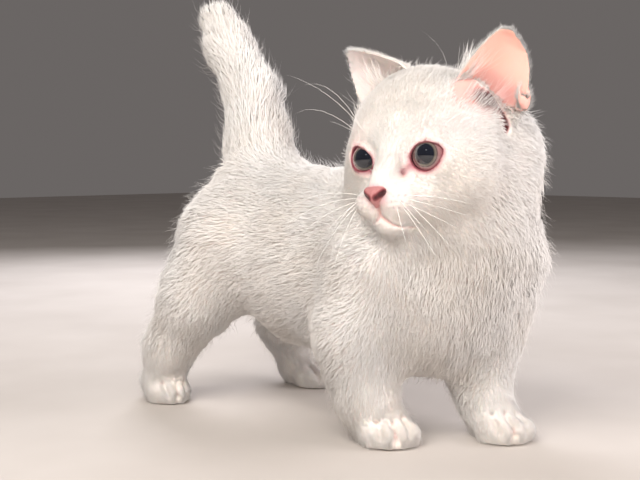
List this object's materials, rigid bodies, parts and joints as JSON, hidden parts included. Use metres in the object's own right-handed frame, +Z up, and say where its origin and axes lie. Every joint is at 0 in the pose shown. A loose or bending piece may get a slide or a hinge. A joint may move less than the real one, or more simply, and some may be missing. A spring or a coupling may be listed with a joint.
{
  "type": "munchkin kitten",
  "caption": "Life-size white short-legged kitten that stands on all fours, looks to its right and holds its thick tail straight up.",
  "frame": {"origin": "on the floor, under the middle of the kitten's bounding box", "axes": "+Z up, the kitten faces -Y with its left side to +X; its head is turned to its right, towards -X"},
  "size_m": [0.1284, 0.2268, 0.2245],
  "materials": {
    "coat": "soft plush short fur, warm white",
    "ear": "thin pink skin with sparse white hair",
    "lid": "moist pink rim",
    "leather": "finely pebbled moist pink nose leather",
    "eye": "wet, clear, very dark blue-grey"
  },
  "bodies": {
    "root": {"torso": "coat", "neck": "coat", "head": "coat", "tail_base": "coat", "tail_middle": "coat", "tail_tip": "coat", "fore_right": "coat", "fore_left": "coat", "hind_right": "coat", "hind_left": "coat", "fore_right_paw": "coat", "fore_left_paw": "coat", "hind_right_paw": "coat", "hind_left_paw": "coat", "ear_right": "ear", "ear_left": "ear", "lids_right": "lid", "lids_left": "lid", "nose": "leather", "eye_right": "eye", "eye_left": "eye"}
  },
  "joints": []
}
